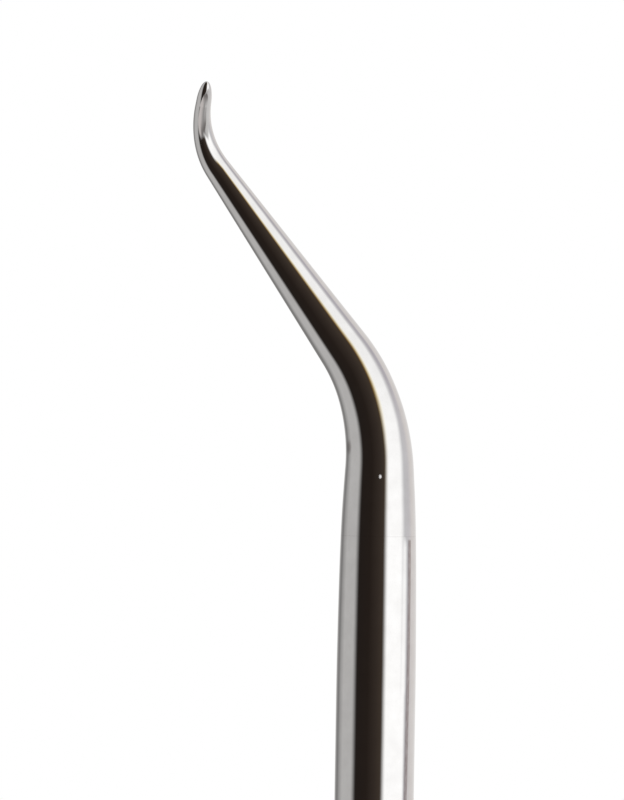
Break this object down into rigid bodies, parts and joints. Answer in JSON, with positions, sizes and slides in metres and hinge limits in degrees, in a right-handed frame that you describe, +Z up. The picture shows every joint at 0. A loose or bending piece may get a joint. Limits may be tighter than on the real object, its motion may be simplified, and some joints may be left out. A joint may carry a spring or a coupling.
{
  "type": "clay modelling tool",
  "caption": "Polished steel clay modelling tool: a tapered rod bent to a rounded finger, on a round handle with a knurled grip and a flat butt.",
  "frame": {"origin": "centre of the flat butt face that the tool stands on", "axes": "+Z up the handle to the bent finger; the finger leans towards -X and its nose turns towards -Y"},
  "size_m": [0.0197, 0.0104, 0.168],
  "materials": {
    "polished_steel": "mirror-polished stainless steel",
    "turned_steel": "turned and polished stainless steel",
    "knurled_steel": "fine diamond knurl",
    "brushed_steel": "satin, brushed round"
  },
  "bodies": {
    "root": {"hook_tip": "polished_steel", "tang_pin": "brushed_steel", "core_tube": "polished_steel", "front_ferrule": "turned_steel", "grip_sleeve": "knurled_steel", "middle_ring": "turned_steel", "rear_barrel": "brushed_steel", "end_cap": "turned_steel"}
  },
  "joints": []
}
